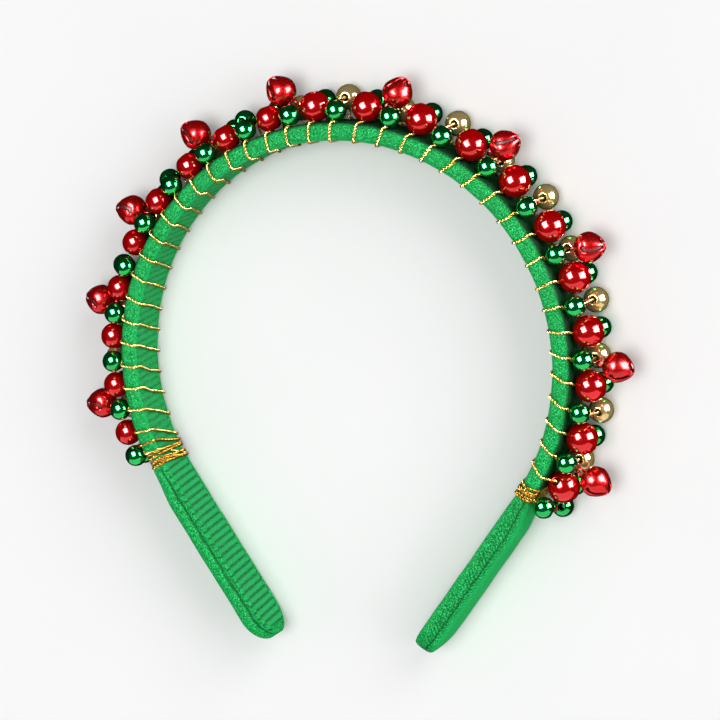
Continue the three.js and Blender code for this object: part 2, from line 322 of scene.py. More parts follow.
# %% The socket wrapper
def rgb(hexed):
    """A colour written as on a paint chart, turned into the linear numbers of a shader."""
    parts = [int(hexed[i:i + 2], 16) / 255 for i in (0, 2, 4)]
    return tuple(p / 12.92 if p <= 0.04045 else ((p + 0.055) / 1.055) ** 2.4 for p in parts)


class Value:
    """A socket of a graph."""

    def __init__(self, graph, socket):
        self.graph = graph
        self.socket = socket

    def math(self, operation, *others):
        inputs = dict(enumerate((self, *others)))
        return self.graph.node("ShaderNodeMath", {"operation": operation}, inputs)

    def __add__(self, other):
        return self.math("ADD", other)

    def __sub__(self, other):
        return self.math("SUBTRACT", other)

    def __mul__(self, other):
        return self.math("MULTIPLY", other)

    def __rsub__(self, other):
        return self.graph.node("ShaderNodeMath", {"operation": "SUBTRACT"}, {0: other, 1: self})

    __radd__ = __add__

    def between(self, low, high, start=0.0, end=1.0):
        """This value carried smoothly from the range low to high into start to end."""
        ranged = {"interpolation_type": "SMOOTHSTEP"}
        inputs = {"From Min": low, "From Max": high, "To Min": start, "To Max": end}
        return self.graph.node("ShaderNodeMapRange", ranged, {"Value": self, **inputs})

    def stretch(self, rise, fall):
        """1 from the end of the rise to the start of the fall, and 0 outside both."""
        return self.between(*rise) * (1 - self.between(*fall))


# %% [markdown]
# A graph makes the nodes and knows the few kinds that the materials need.

# %% The graph of a material
class Graph:
    """The nodes of one material, which ends in one Principled shader."""

    def __init__(self, name, **constants):
        self.material = bpy.data.materials.new(name)
        self.material.use_nodes = True
        self.tree = self.material.node_tree
        self.shader = self.tree.nodes["Principled BSDF"]
        for socket, value in constants.items():
            self.shader.inputs[socket.replace("_", " ")].default_value = value

    def node(self, kind, settings=None, inputs=None, output=0):
        made = self.tree.nodes.new(kind)
        for key, value in (settings or {}).items():
            setattr(made, key, value)
        for key, value in (inputs or {}).items():
            if isinstance(value, Value):
                self.tree.links.new(value.socket, made.inputs[key])
            else:
                made.inputs[key].default_value = value
        return Value(self, made.outputs[output])

    def surface(self):
        """Along the piece and round it, in millimetres, from the map that its mesh carries."""
        uv = self.node("ShaderNodeUVMap", {"uv_map": "surface"})
        x = self.node("ShaderNodeSeparateXYZ", None, {"Vector": uv}, "X")
        return x, Value(self, x.socket.node.outputs["Y"])

    def noise(self, grain, detail=2.0, rough=0.5):
        """Soft noise whose patches are about as wide as grain, in millimetres."""
        inputs = {
            "Vector": self.node("ShaderNodeTexCoord", output="Object"),
            "Scale": 1 / (grain * MM),
            "Detail": detail,
            "Roughness": rough,
        }
        return self.node("ShaderNodeTexNoise", None, inputs, "Fac")

    def mix(self, share, a, b):
        """Two colours mixed. A plain colour is written as for rgb."""
        colours = [c if isinstance(c, Value) else (*rgb(c), 1) for c in (a, b)]
        inputs = {0: share, 6: colours[0], 7: colours[1]}
        return self.node("ShaderNodeMix", {"data_type": "RGBA"}, inputs, 2)

    def bump(self, height, depth, strength=1.0):
        """A relief of the given depth in millimetres, for the Normal of the shader."""
        inputs = {"Height": height, "Distance": depth * MM, "Strength": strength}
        return self.node("ShaderNodeBump", None, inputs, "Normal")

    def wear(self, **links):
        """Feeds the shader, and gives the finished material."""
        for socket, value in links.items():
            self.tree.links.new(value.socket, self.shader.inputs[socket.replace("_", " ")])
        return self.material


# %% [markdown]
# ## Green velvet
# The padding is covered with a close green cloth with a glitter in it. Near to, it is a grain
# of specks a third of a millimetre wide, from noise in the colour and the bump. The bare legs
# have a seam, flanked by a herringbone on the right and by a row of dashes on the left. The
# map of the cover says how far along the path a point is, and how far round the section from
# the near shoulder.

# %% Velvet material
LEG_STARTS = 128.0
RIGHT_LEG_STARTS = 127.5
LEG_FADE = 1.5
SEAM_AT = {"left": 4.4, "right": 2.6}
EDGE_END = 6.9
OUTER_FACE = 28.6
HERRINGBONE_PITCH = 1.15
HERRINGBONE_SLOPE = 0.9
RIB_PITCH = 2.03
RIB_WAVE = 2 * math.pi / RIB_PITCH
SPECK_WIDTH = 0.34
SPECK_DEPTH = 0.22
# Stretches round the section, as where each fades in and where it fades out
INNER_RIM = (5.4, 6.2), (8.0, 9.0)
PALE_RIM = (5.8, 6.5), (7.4, 8.2)
PALE_RIM_ALONG = (-50, -20)
DASH_ROW = (5.0, 5.4), (6.3, 6.7)
OUTER_FADES = (OUTER_FACE - 1.2, OUTER_FACE + 0.4), (0.6, 2.2)


def velvet_material():
    graph = Graph("green_velvet", Specular_IOR_Level=0.06)
    along, distance = graph.surface()
    leg = along.math("ABSOLUTE").between(LEG_STARTS - LEG_FADE, LEG_STARTS + LEG_FADE)
    right = along.between(RIGHT_LEG_STARTS - LEG_FADE, RIGHT_LEG_STARTS + LEG_FADE)
    seam_at = SEAM_AT["left"] + right * (SEAM_AT["right"] - SEAM_AT["left"])
    sway = (graph.noise(2.5, 1.0) - 0.5) * 0.7
    off_seam = (distance - seam_at + sway).math("ABSOLUTE")
    zigzag = (along + off_seam * HERRINGBONE_SLOPE) * (2 * math.pi / HERRINGBONE_PITCH)
    herringbone = zigzag.math("SINE").between(-1, 1) * right * (1 - off_seam.between(1.6, 2.6))
    # outer marks the outer face of the section: plain on the legs, painted shade on the wound band
    outer = distance.between(*OUTER_FADES[0]) + (1 - distance.between(*OUTER_FADES[1]))
    # The grain is fainter on the outer face of the legs and along the inner rim
    plain = (outer * leg).math("MAXIMUM", distance.stretch(*INNER_RIM) * 0.75)
    fine = graph.noise(SPECK_WIDTH, rough=0.65)
    grain = (fine - herringbone * 0.1 - 0.5) * (1 - plain * 0.7) + 0.5
    # A paler strip along the rounded corner between the near edge and the inner face, on part of
    # the left arch
    rim = distance.stretch(*PALE_RIM) * (1 - leg) * along.between(*PALE_RIM_ALONG)
    dash = (along * RIB_WAVE).math("COSINE").between(0.1, 0.9)
    dashes = distance.stretch(*DASH_ROW) * leg * (1 - right) * dash
    colour = graph.mix(grain.between(0.38, 0.62), "006e2a", "06d866")
    layers = {
        "50f4a0": fine.between(0.58, 0.68) * (1 - plain * 0.8),
        "069646": graph.noise(6.0).between(0.35, 0.7, 0.0, 0.3),
        "22bf68": plain * 0.4,
        "5cc084": rim * 0.55,
        "034a22": leg * (1 - off_seam.between(0.12, 0.4)) * 0.72,
        "044f24": dashes * 0.75,
        # Painted shade: the outer face of the wound band, deep in shade behind the beads, is
        # nearly black-green
        "021c0e": outer * (1 - leg) * 0.9,
    }
    for layer, share in layers.items():
        colour = graph.mix(share, colour, layer)
    return graph.wear(
        Base_Color=colour,
        Roughness=grain.between(0.3, 0.7, 0.8, 0.6),
        Normal=graph.bump(grain, SPECK_DEPTH, 0.9),
    )


velvet = velvet_material()

# %% [markdown]
# ## Ribbed ribbon
# The ribbon that lines the band is woven with ribs across it. The ribs are real relief in the
# mesh; the shader adds painted shade in the valleys between them, and the fine threads.

# %% Ribbon material
RIB_SLANT = 0.1


def ribbon_material():
    graph = Graph("green_ribbon", Specular_IOR_Level=0.12)
    along, across = graph.surface()
    leg = along.math("ABSOLUTE").between(124.0, 132.0)
    rib = ((along + across * RIB_SLANT) * RIB_WAVE).math("COSINE")
    weave = graph.noise(0.3, rough=0.65)
    # Painted shade: the valleys between the ribs are made darker
    valley = rib.between(-1.0, 0.5) * 0.5 + weave
    ribbed = graph.mix(valley.between(0.35, 1.0), "026a2e", "14b660")
    smoother = graph.mix(weave.between(0.35, 0.65), "037a32", "0fb858")
    colour = graph.mix((1 - leg) * 0.55, ribbed, smoother)
    colour = graph.mix(weave.between(0.6, 0.72), colour, "56dc96")
    return graph.wear(
        Base_Color=colour,
        Roughness=weave.between(0.3, 0.7, 0.85, 0.65),
        Normal=graph.bump(weave, 0.08, 0.8),
    )


ribbon = ribbon_material()

# %% [markdown]
# ## Gold thread
# Two fine metal strands twisted round each other. The twist is modelled, so the material is a
# plain bright metal, browner in some stretches. The tight coils of the bindings are darker.

# %% Thread material
def thread_material(name, dull, bright):
    graph = Graph(name, Metallic=0.85)
    patches = graph.noise(0.9)
    return graph.wear(
        Base_Color=graph.mix(patches.between(0.35, 0.65), dull, bright),
        Roughness=patches.between(0.3, 0.7, 0.36, 0.22),
        Normal=graph.bump(graph.noise(0.12, 1.0), 0.03, 0.5),
    )


thread = thread_material("gold_thread", "b08a2c", "f4dc8a")
bound_thread = thread_material("bound_gold_thread", "6e4a12", "c8962e")

# %% [markdown]
# ## Metallic beads
# The beads look like coloured metal under clear lacquer. A slight cloudiness and a faint
# ripple keep them from being perfect. The bells and the seed beads wear duller kinds.

# %% Bead materials
def lacquer_material(name, deep, bright, metal, rough, coat=0.4, coat_rough=0.03):
    graph = Graph(name, Coat_Weight=coat, Coat_Roughness=coat_rough, Coat_IOR=1.5)
    cloud = graph.noise(3.0)
    speck = graph.noise(0.5, 1.0)
    return graph.wear(
        Base_Color=graph.mix(cloud.between(0.3, 0.7), deep, bright),
        Metallic=cloud.between(0.2, 0.8, metal - 0.05, metal + 0.05),
        Roughness=speck.between(0.3, 0.8, rough, rough + 0.05),
        Normal=graph.bump(graph.noise(2.6, 1.0), 0.04, 0.3),
    )


bead_looks = {
    "red": lacquer_material("red_lacquer", "cc0005", "de0009", 0.55, 0.1),
    "green": lacquer_material("green_lacquer", "0ca04a", "10b454", 0.92, 0.07),
    "gold": lacquer_material("gold_lacquer", "d2b670", "ecd696", 0.68, 0.13),
}
bell_look = lacquer_material("bell_lacquer", "b80003", "d20006", 0.7, 0.24, 0.3, 0.1)
# A near-black red that paints the shade inside the bells
inside_shade_look = lacquer_material("bell_inside", "3c0003", "520005", 0.3, 0.5, 0.0, 0.2)
seed_look = lacquer_material("seed_lacquer", "7c0004", "a80008", 0.6, 0.25, 0.3, 0.1)

# %% [markdown]
# ## The padded cover
# The cover is one long padded skin. Its section is a rounded bar, thinner where the thread
# presses it, drawn in at the two bindings, and fuller on the bare legs. Each turn of thread
# sinks into it, and the cloth swells a little between the turns.

# %% How thick and wide the band is along its path
WOUND_THICKNESS = 5.0
LEG_THICKNESS = 6.2
LEG_CROWN = 0.45
LEG_BLEND = 12.0
BINDING_WIDTH = 4.0
WAIST_PINCH = 0.85
WAIST_ENDS = (0.4 * BINDING_WIDTH, 0.72 * BINDING_WIDTH)
WINDING_FADE = 0.6
TIP_LENGTH = 8.0
TIP_THICKNESS = 0.6
TIP_WIDTH = 0.05
WOUND_LIFT = 0.35

bindings = {side: along_of(middle_of(f"binding_{side}")) for side in ("left", "right")}
print({side: round(along, 1) for side, along in bindings.items()})


def smooth(value, low, high):
    share = np.clip((np.asarray(value, float) - low) / (high - low), 0, 1)
    return share * share * (3 - 2 * share)


def hump(value, width):
    """1 at zero, and almost nothing two widths away."""
    return np.exp(-((value / width) ** 2))


def band_size(along):
    """Thickness and width of the band, and how far a place is bare leg or wound."""
    reach = np.abs(along)
    past = reach - np.where(along < 0, -bindings["left"], bindings["right"])
    leg = smooth(past, BINDING_WIDTH / 2, BINDING_WIDTH / 2 + LEG_BLEND)
    pinch = WAIST_PINCH * (1 - smooth(np.abs(past), *WAIST_ENDS))
    tip = np.clip(1 - (SIDE_LENGTH - reach) / TIP_LENGTH, 0, 1)
    rounding = np.sqrt(np.maximum(1 - tip ** 2, 0))
    thickness = WOUND_THICKNESS + (LEG_THICKNESS - WOUND_THICKNESS) * leg - pinch
    return {
        "thickness": thickness * (TIP_THICKNESS + (1 - TIP_THICKNESS) * rounding),
        "width": (BAND_WIDTH - 2 * pinch) * np.maximum(rounding, TIP_WIDTH),
        "leg": leg,
        "wound": 1 - smooth(past, -BINDING_WIDTH / 2 - WINDING_FADE, -BINDING_WIDTH / 2),
    }


# %% [markdown]
# The section has four flat faces and four rounded corners. Walking round it starts at the near
# shoulder, passes the near edge, the inner face and the far edge, and comes back over the
# outer face. Each point also knows which way it faces, so that relief can be pushed in or out
# of the cloth.

# %% The rounded section
SHOULDER = 2.3
SHOULDER_SHARE = 0.42
INNER_EDGE = 1.1
INNER_SHARE = 0.25
CORNER_STEPS = 8
FACES = ("edge", "inner", "edge", "outer")
FACE_STEPS = {"outer": 12, "edge": 6, "inner": 14}


def section(width, thickness):
    """Points round the section as distance out and across, with the way each one faces."""
    shoulder = min(SHOULDER, thickness * SHOULDER_SHARE, width * SHOULDER_SHARE)
    inner = min(INNER_EDGE, thickness * INNER_SHARE, width * INNER_SHARE)
    half = width / 2
    # Each corner as its centre, its radius and the angle at which it starts
    corners = [
        (thickness - shoulder, half - shoulder, shoulder, 0),
        (inner, half - inner, inner, 90),
        (inner, inner - half, inner, 180),
        (thickness - shoulder, shoulder - half, shoulder, 270),
    ]
    points = []
    for corner, face, after in zip(corners, FACES, corners[1:] + corners[:1]):
        angle = np.radians(corner[3] + np.linspace(0, 90, CORNER_STEPS + 1))
        facing = np.stack([np.cos(angle), np.sin(angle)], axis=-1)
        arc = corner[:2] + corner[2] * facing
        end = after[:2] + after[2] * facing[-1]
        share = np.linspace(0, 1, FACE_STEPS[face] + 1)[1:-1, None]
        flat = arc[-1] + (end - arc[-1]) * share
        points.append(np.hstack([arc, facing]))
        points.append(np.hstack([flat, np.broadcast_to(facing[-1], flat.shape)]))
    return np.concatenate(points)


def slice_at(along):
    """The sizes of the band at one place, and its section there."""
    size = {key: float(value) for key, value in band_size(along).items()}
    return size, section(size["width"], size["thickness"])


nominal = section(BAND_WIDTH, WOUND_THICKNESS)
gaps = np.linalg.norm(np.diff(nominal[:, :2], axis=0, append=nominal[:1, :2]), axis=1)
around = np.concatenate([[0], np.cumsum(gaps)[:-1]])
GIRTH = gaps.sum()
print(f"{len(nominal)} points round the section, {GIRTH:.1f} mm in all")

# %% [markdown]
# The thread winds as one long screw. It stands straight on the outer face, where the beads
# hold it, and moves on by one whole turn while it crosses the near edge, the inner face and
# the far edge. The same rule gives the groove in the cloth and, later, the thread itself.

# %% Where the thread lies
SCREW_STARTS = 1.5
EDGE_PASSED = 7.5
SCREW_ENDS = GIRTH * 0.66
# The turns of the crown cross the inner face later than those of the sides
CROWN_TURNS = (5, 11)
CROWN_DELAY = 5.5
# A turn leaves its bead a little to the left. How far it leans while it crosses the near edge,
# in millimetres along the path, is given for a few turns and shared out evenly between them.
LEAVES = -0.7
LEANS = {
    -20: -0.6, -13: -1.0, -11: -0.5, -5: -0.5, 0: -0.6, 3: -1.0,
    5: -2.0, 8: -0.9, 11: 0.3, 13: -1.2, 15: -2.8, 20: -2.6,
}


def screw_shift(turn, distance):
    """How far along the path a turn of thread has moved, at a distance round the section."""
    step = along_at(turn) - along_at(turn - 1)
    leans = np.interp(turn, list(LEANS), list(LEANS.values()))
    edge = smooth(distance, SCREW_STARTS, EDGE_PASSED)
    starts = EDGE_PASSED + np.interp(np.abs(turn), CROWN_TURNS, (CROWN_DELAY, 0))
    rest = np.clip((distance - starts) / (SCREW_ENDS - starts), 0, 1)
    return LEAVES + leans * edge + (-step - LEAVES - leans) * rest


def groove(along, distance):
    """How close the nearest turn of thread passes, in millimetres."""
    turn = np.round(turn_at(along))
    turns = (turn, turn + 1, turn + 2)
    near = [along - along_at(n) - screw_shift(n, distance) for n in turns]
    return np.abs(near).min(axis=0)


# %% [markdown]
# Lumpy padding is never even. A few sine waves of odd lengths, added together, give the same
# gentle unevenness at every run without a random number. The bare legs have seams as well.

# %% Lumps and seams
# What cuts into the bare legs: where it lies round the section, half its width and its depth.
# The left leg has a roll beside the seam, with faint prints of the ribs, and then a crease.
SEAM_CUT = (0.3, 0.5)
LEG_CUTS = {
    "left": [(SEAM_AT["left"], *SEAM_CUT), (5.7, 0.7, -0.22), (EDGE_END + 0.2, 0.3, 0.25)],
    "right": [(SEAM_AT["right"], *SEAM_CUT)],
}
PRINT_AT, PRINT_HALF, PRINT_DEPTH = 5.9, 0.8, 0.08


def lumps(along, distance):
    waves = [(0.31, 0.21, 0.0), (0.53, -0.37, 1.3), (0.17, 0.11, 2.1)]
    return sum(np.sin(a * along + b * distance + c) for a, b, c in waves) / len(waves)


def seams(along, distance):
    """How deep the seams and creases of a leg cut in, at a place on it."""
    side = side_of(along)
    cut = sum(depth * hump(distance - at, half) for at, half, depth in LEG_CUTS[side])
    if side == "left":
        cut += PRINT_DEPTH * np.cos(along * RIB_WAVE) * hump(distance - PRINT_AT, PRINT_HALF)
    return cut


# %% [markdown]
# The skin is a row of sections along the path. Each point is pushed out or in by the sum of
# all that shapes the cloth there, and never goes below the floor.

# %% Build the cover
GROOVE_DEPTH = 0.42
GROOVE_HALF = 0.5
SWELL = 0.12
SWELL_ENDS = (0.5, 2.5)
LUMP_HEIGHT = 0.08
EDGE_DOME = 0.3
RING_STEP = 0.42
END_GAP = 0.02
RIBBON_SINK = 0.7
SINK_ENDS = (1.0, 1.6)
RELIEF_FADE = 8.0
LIFT_ENDS = (MIDDLE - 2, MIDDLE)


def cover_rings():
    count = int(2 * SIDE_LENGTH / RING_STEP)
    ends = SIDE_LENGTH - END_GAP
    rings, surface = [], []
    for along in np.linspace(-ends, ends, count):
        size, outline = slice_at(along)
        out, across, face_out, face_across = outline.T
        outer, inner = np.maximum(face_out, 0), np.maximum(-face_out, 0)
        near = groove(along, around)
        off_middle = np.clip(np.abs(out / size["thickness"] - 0.5) * 2, 0, 1)
        under = smooth(size["width"] / 2 - np.abs(across), *SINK_ENDS)
        push = sum([
            -GROOVE_DEPTH * hump(near, GROOVE_HALF) * size["wound"],
            SWELL * smooth(near, *SWELL_ENDS) * size["wound"] * (1 - inner),
            LUMP_HEIGHT * lumps(along, around) * min(size["width"] / BAND_WIDTH, 1),
            LEG_CROWN * size["leg"] * outer * (1 - (across / MIDDLE) ** 2),
            -seams(along, around) * size["leg"] * min(size["width"] / RELIEF_FADE, 1),
            -EDGE_DOME * np.abs(face_across) * off_middle ** 2,
            -RIBBON_SINK * under * inner,
        ])
        height = MIDDLE + across + face_across * push
        floor_lift = WOUND_LIFT * size["wound"] * smooth(-across, *LIFT_ENDS)
        height = np.maximum(height + floor_lift, 0)
        rings.append(band_point(along, out + face_out * push, height))
        surface.append(np.stack([np.full(len(out), along), around], axis=-1))
    return np.array(rings), np.concatenate(surface)


def build_cover():
    rings, surface = cover_rings()
    rows, columns = rings.shape[:2]
    points = rings.reshape(-1, 3)
    faces = grid_faces(rows, columns, close_columns=True)
    ends = np.array([rings[0].mean(axis=0), rings[-1].mean(axis=0)])
    faces += fan_faces(0, columns, len(points))
    faces += fan_faces((rows - 1) * columns, columns, len(points) + 1, turned=True)
    points = np.concatenate([points, ends])
    surface = np.concatenate([surface, surface[[0, -1]]])
    cover = make_piece(
        "velvet_cover", points, faces, velvet, "cloth", ["band_cover"], surface, GIRTH,
    )
    return cover


cover = build_cover()
print("cover:", len(cover.data.polygons), "faces")

# %% [markdown]
# ## The ribbon
# The ribbon is a strip with real ribs. Each rib is a small wave in the mesh, a little aslant,
# and the two woven edges stay smooth. It is pressed in where the thread crosses it.

# %% Build the ribbon
RIBBON_STEPS = 18
RIBBON_END = SIDE_LENGTH - TIP_LENGTH * 0.36
RIBBON_MARGIN = 1.15
RIBBON_BACK = 0.9
RIBBON_MIDDLE = (EDGE_END + OUTER_FACE - SHOULDER * 3) / 2
RIB_DEPTH = 0.28
RIB_STEPS = 8
WOUND_RIB_SHARE = 0.2
SELVEDGE = 0.5
EDGE_SINK = 0.5
EDGE_SINK_WIDTH = 0.25
THREAD_PRESS = 0.3
PRESS_HALF = 0.6


def build_ribbon():
    count = int(2 * RIBBON_END / (RIB_PITCH / RIB_STEPS))
    along = np.linspace(-RIBBON_END, RIBBON_END, count)[:, None]
    size = band_size(along)
    half = size["width"] / 2 - RIBBON_MARGIN
    across = half * np.linspace(-1, 1, RIBBON_STEPS)
    from_edge = half - np.abs(across)
    rib = (1 - np.cos((along + across * RIB_SLANT) * RIB_WAVE)) / 2
    ribbed = smooth(from_edge, SELVEDGE * 0.7, SELVEDGE)
    near = groove(along, RIBBON_MIDDLE - across)
    depth = RIB_DEPTH * (WOUND_RIB_SHARE + (1 - WOUND_RIB_SHARE) * size["leg"])
    face = depth * rib * ribbed
    face = face + THREAD_PRESS * hump(near, PRESS_HALF) * size["wound"]
    face = face + EDGE_SINK * smooth(-from_edge, -EDGE_SINK_WIDTH, 0)
    skins = [
        (band_point(along, face, MIDDLE + across), grid_faces(count, RIBBON_STEPS)),
        (band_point(along, RIBBON_BACK, MIDDLE + across),
         [quad[::-1] for quad in grid_faces(count, RIBBON_STEPS)]),
    ]
    points, faces = join(skins)
    grid = np.arange(count * RIBBON_STEPS).reshape(count, RIBBON_STEPS)
    rim = np.concatenate([grid[:, 0], grid[-1, 1:], grid[-2::-1, -1], grid[0, -2:0:-1]])
    after = np.roll(rim, -1)
    faces += np.stack([rim, rim + grid.size, after + grid.size, after], axis=-1).tolist()
    flat = np.stack(np.broadcast_arrays(along, across), axis=-1).reshape(-1, 2)
    surface = np.concatenate([flat, flat])
    return make_piece("ribbed_ribbon", points, faces, ribbon, "ribbon", ["ribbon_lining"], surface)


lining = build_ribbon()
print("ribbon:", len(lining.data.polygons), "faces")

# %% [markdown]
# ## Beads with a bore
# A bead is a ball with a wide hole through it and a rounded rim. Its profile is walked from
# the middle of the bore, over the rim and round the outside, to the bore again.

# %% One bead
RIM_RADIUS = 0.34
RIM_STEPS = 5
BORE_STRAIGHT = 0.6


def bead_shape(radius, bore, sides=36, steps=16):
    """Points and faces of a bead at the origin, with its bore along Z."""
    open_angle = math.asin((bore + RIM_RADIUS) / (radius - RIM_RADIUS))
    rim_height = (radius - RIM_RADIUS) * math.cos(open_angle)
    turn = np.linspace(np.pi, np.pi / 2 - open_angle, RIM_STEPS + 1)
    angle = np.linspace(open_angle, np.pi / 2, steps + 1)[1:-1]
    upper = np.concatenate([
        [(bore, 0), (bore, rim_height * BORE_STRAIGHT)],
        (bore, rim_height) + RIM_RADIUS * np.stack([1 + np.cos(turn), np.sin(turn)], axis=-1),
        radius * np.stack([np.sin(angle), np.cos(angle)], axis=-1),
    ])
    lower = upper[::-1] * (1, -1)
    ring = np.concatenate([upper, [(radius, 0)], lower[:-1]])
    points = ring_points(ring[:, :1], circle(sides), ring[:, 1:])
    return points.reshape(-1, 3), grid_faces(len(ring), sides, True, True)


def turned_to(direction, points):
    """Points made round Z, turned so that Z looks in a direction."""
    turn = np.array(Vector(direction).to_track_quat("Z", "Y").to_matrix())
    return points @ turn.T


# %% [markdown]
# The bores of the near beads point at the band, where the thread goes in. They tilt up a
# little on the right, and down on the left. The last red on the right has rolled round and
# shows its hole.

# %% Near beads
BORES = {"red": 1.1, "green": 0.85, "gold": 0.95}
BORE_TILTS = {"left": -6, "right": 14}
ROLLED_TURN = 19
ROLLED_BORE = (0.51, 0.29, 0.81)


def near_bore(turn):
    """The direction in which the bore of a near bead leaves it on the band's side."""
    outward, forward, up = band_axes(along_at(turn))
    if turn == ROLLED_TURN:
        inward, back, rise = ROLLED_BORE
        return (-outward * inward - forward * back + up * rise).normalized()
    tilt = math.radians(BORE_TILTS["right" if turn > 0 else "left"])
    return -outward * math.cos(tilt) + up * math.sin(tilt)


for turn in TURNS:
    colour, node = near_colour(turn), near_node(turn)
    points, faces = bead_shape(near_radius(turn), BORES[colour])
    points = turned_to(near_bore(turn), points) + np.array(near_places[turn])
    name = node.replace("_bead_", "_lacquer_bead_")
    make_piece(name, points, faces, bead_looks[colour], f"{colour}_bead", [node])

print("near beads:", len(TURNS))

# %% [markdown]
# The far beads stand on end: the thread comes down to them from the near bead, so their holes
# look up. Each side's beads of one colour are joined into one mesh.

# %% Far beads
FAR_LEAN = 0.16
FAR_LEAN_CHANGE = 2.4
FAR_SIDES, FAR_STEPS = 28, 11


def far_bore(turn):
    outward, forward, up = band_axes(along_at(turn))
    return (up + forward * FAR_LEAN * math.sin(turn * FAR_LEAN_CHANGE)).normalized()


def far_bead(turn):
    colour, radius, *_ = far_seat(turn)
    points, faces = bead_shape(radius, BORES[colour], FAR_SIDES, FAR_STEPS)
    return turned_to(far_bore(turn), points) + np.array(far_places[turn]), faces


far_rows = {
    "left": [turn for turn in TURNS if turn <= 0],
    "right": [turn for turn in TURNS if turn > 0],
}
for side, turns in far_rows.items():
    for colour in ("gold", "green"):
        beads = [far_bead(turn) for turn in turns if far_seat(turn)[0] == colour]
        replaced = [f"far_row_{side}"] if colour == "gold" else []
        name = f"far_{colour}_beads_{side}"
        make_piece(name, *join(beads), bead_looks[colour], f"{colour}_bead", replaced)
        print(side, colour, len(beads))

# %% [markdown]
# ## Twisted thread
# A thread is two strands that wind round each other. The path is cut into even steps, a frame
# is carried along it without twisting, and two thin tubes are wound round it.

# %% Twisting a thread along a path
PLY_RADIUS = 0.22
PLY_OFFSET = 0.23
THREAD_RADIUS = PLY_RADIUS + PLY_OFFSET
TWIST_LENGTH = 1.9
THREAD_STEP = 0.22
PLY_SIDES = 5


def even_steps(path, step):
    """The path cut into even steps and smoothed, and how far along it each point is."""
    path = np.asarray(path, float)
    lengths = np.linalg.norm(np.diff(path, axis=0), axis=1)
    places = np.concatenate([[0], np.cumsum(lengths)])
    wanted = np.linspace(0, places[-1], max(int(places[-1] / step), 2))
    evened = np.stack([np.interp(wanted, places, path[:, i]) for i in range(3)], axis=-1)
    for _ in range(3):
        evened[1:-1] = (evened[:-2] + 2 * evened[1:-1] + evened[2:]) / 4
    return evened, wanted


def twisted_thread(path, phase):
    points, places = even_steps(path, THREAD_STEP)
    tangents = np.gradient(points, axis=0)
    tangents /= np.linalg.norm(tangents, axis=1)[:, None]
    side = np.cross(tangents[0], (0.3, 0.5, 0.8))
    sides = []
    for tangent in tangents:
        side = side - tangent * side.dot(tangent)
        side = side / np.linalg.norm(side)
        sides.append(side)
    sides = np.array(sides)
    ups = np.cross(tangents, sides)
    parts = []
    for ply in (0, np.pi):
        angle = (phase + ply + places * 2 * np.pi / TWIST_LENGTH)[:, None]
        centre = points + PLY_OFFSET * (sides * np.cos(angle) + ups * np.sin(angle))
        turn = angle[:, :, None] + circle(PLY_SIDES)[None, :, None]
        ring = sides[:, None] * np.cos(turn) + ups[:, None] * np.sin(turn)
        rings = centre[:, None] + PLY_RADIUS * ring
        parts.append((rings, grid_faces(len(points), PLY_SIDES, close_columns=True)))
    return join(parts)


# %% [markdown]
# Each turn starts in its near bead, comes over the near edge, crosses the inner face, goes
# under the far edge and up through the far bead of the turn before it. The thread lies half
# sunk in the cloth, and never quite straight.

# %% Wind the thread
THREAD_RISE = THREAD_RADIUS - GROOVE_DEPTH + 0.12
COVER_START = 0.6
COVER_END = GIRTH * 0.74
WANDER = 0.2
HOOK_HEIGHT = 0.75
PAST_FAR_BEAD = 3.4
noise = random.Random(12)


def on_cloth(place, distance, rise, off_floor):
    """A point that stands off the cloth, at a place along the band and a distance round it."""
    out, across, face_out, face_across = [
        np.interp(distance, around, column, period=GIRTH) for column in slice_at(place)[1].T
    ]
    height = max(MIDDLE + across + face_across * rise, THREAD_RADIUS + off_floor)
    return band_point(place, out + face_out * rise, height)


def lying_path(turn, wander):
    """The thread's path round the section, from the near shoulder to the far one."""
    distances = np.linspace(COVER_START, COVER_END, 90)
    along = along_at(turn) + screw_shift(turn, distances) + wander * np.sin(distances * 0.55)
    return [on_cloth(*place, THREAD_RISE, 0.03) for place in zip(along, distances)]


def wound_turn(turn):
    near = near_places[turn]
    path = [near, near + near_bore(turn) * near_radius(turn)]
    path += lying_path(turn, noise.uniform(-WANDER, WANDER))
    if turn > TURNS[0]:
        before = turn - 1
        far, bore = far_places[before], far_bore(before)
        path += [far - bore * (far.z - HOOK_HEIGHT), far, far + bore * PAST_FAR_BEAD]
        path.append(near_places[before] - near_bore(before) * near_radius(before) * 0.8)
    return twisted_thread([np.array(p) for p in path], phase=turn * 1.7)


for side, turns in far_rows.items():
    parts = [wound_turn(turn) for turn in turns]
    winding = make_piece(f"thread_winding_{side}", *join(parts), thread, "gold_thread")
    print(winding.name, len(winding.data.polygons), "faces")

# %% [markdown]
# ## Bindings
# Each end of the winding is tied off with a few tight coils side by side. They lie in the
# waist of the band, a little aslant, and no two quite parallel.

# %% Wind the bindings
# For each coil, its place from the middle of the binding (away from the crown) and its slant
# over the width of the band, in millimetres
COILS = {
    "left": [
        (-3.7, 2.3), (-1.5, 0.2), (-0.75, -0.3), (0.75, 0.6), (1.45, 1.2), (2.1, 0.3), (1.2, -0.9),
    ],
    "right": [(-1.8, 0.3), (-0.95, -0.4), (-0.1, 0.4), (0.75, -0.2), (1.6, 0.3), (0.4, 1.1)],
}
COIL_MIDDLE = 12.0
COIL_RISE = THREAD_RADIUS - 0.1
COIL_LAYER = 0.05


def binding_coil(side, order, shift, slant):
    sign = -1 if side == "left" else 1
    rise = COIL_RISE + COIL_LAYER * (order % 3)
    distances = np.linspace(0, GIRTH, 120)
    swing = np.sin((distances - COIL_MIDDLE) * 2 * np.pi / GIRTH) * slant / 2
    places = bindings[side] + sign * (shift + swing)
    path = [on_cloth(*place, rise, 0.02) for place in zip(places, distances)]
    return twisted_thread(path, phase=order * 2.1)


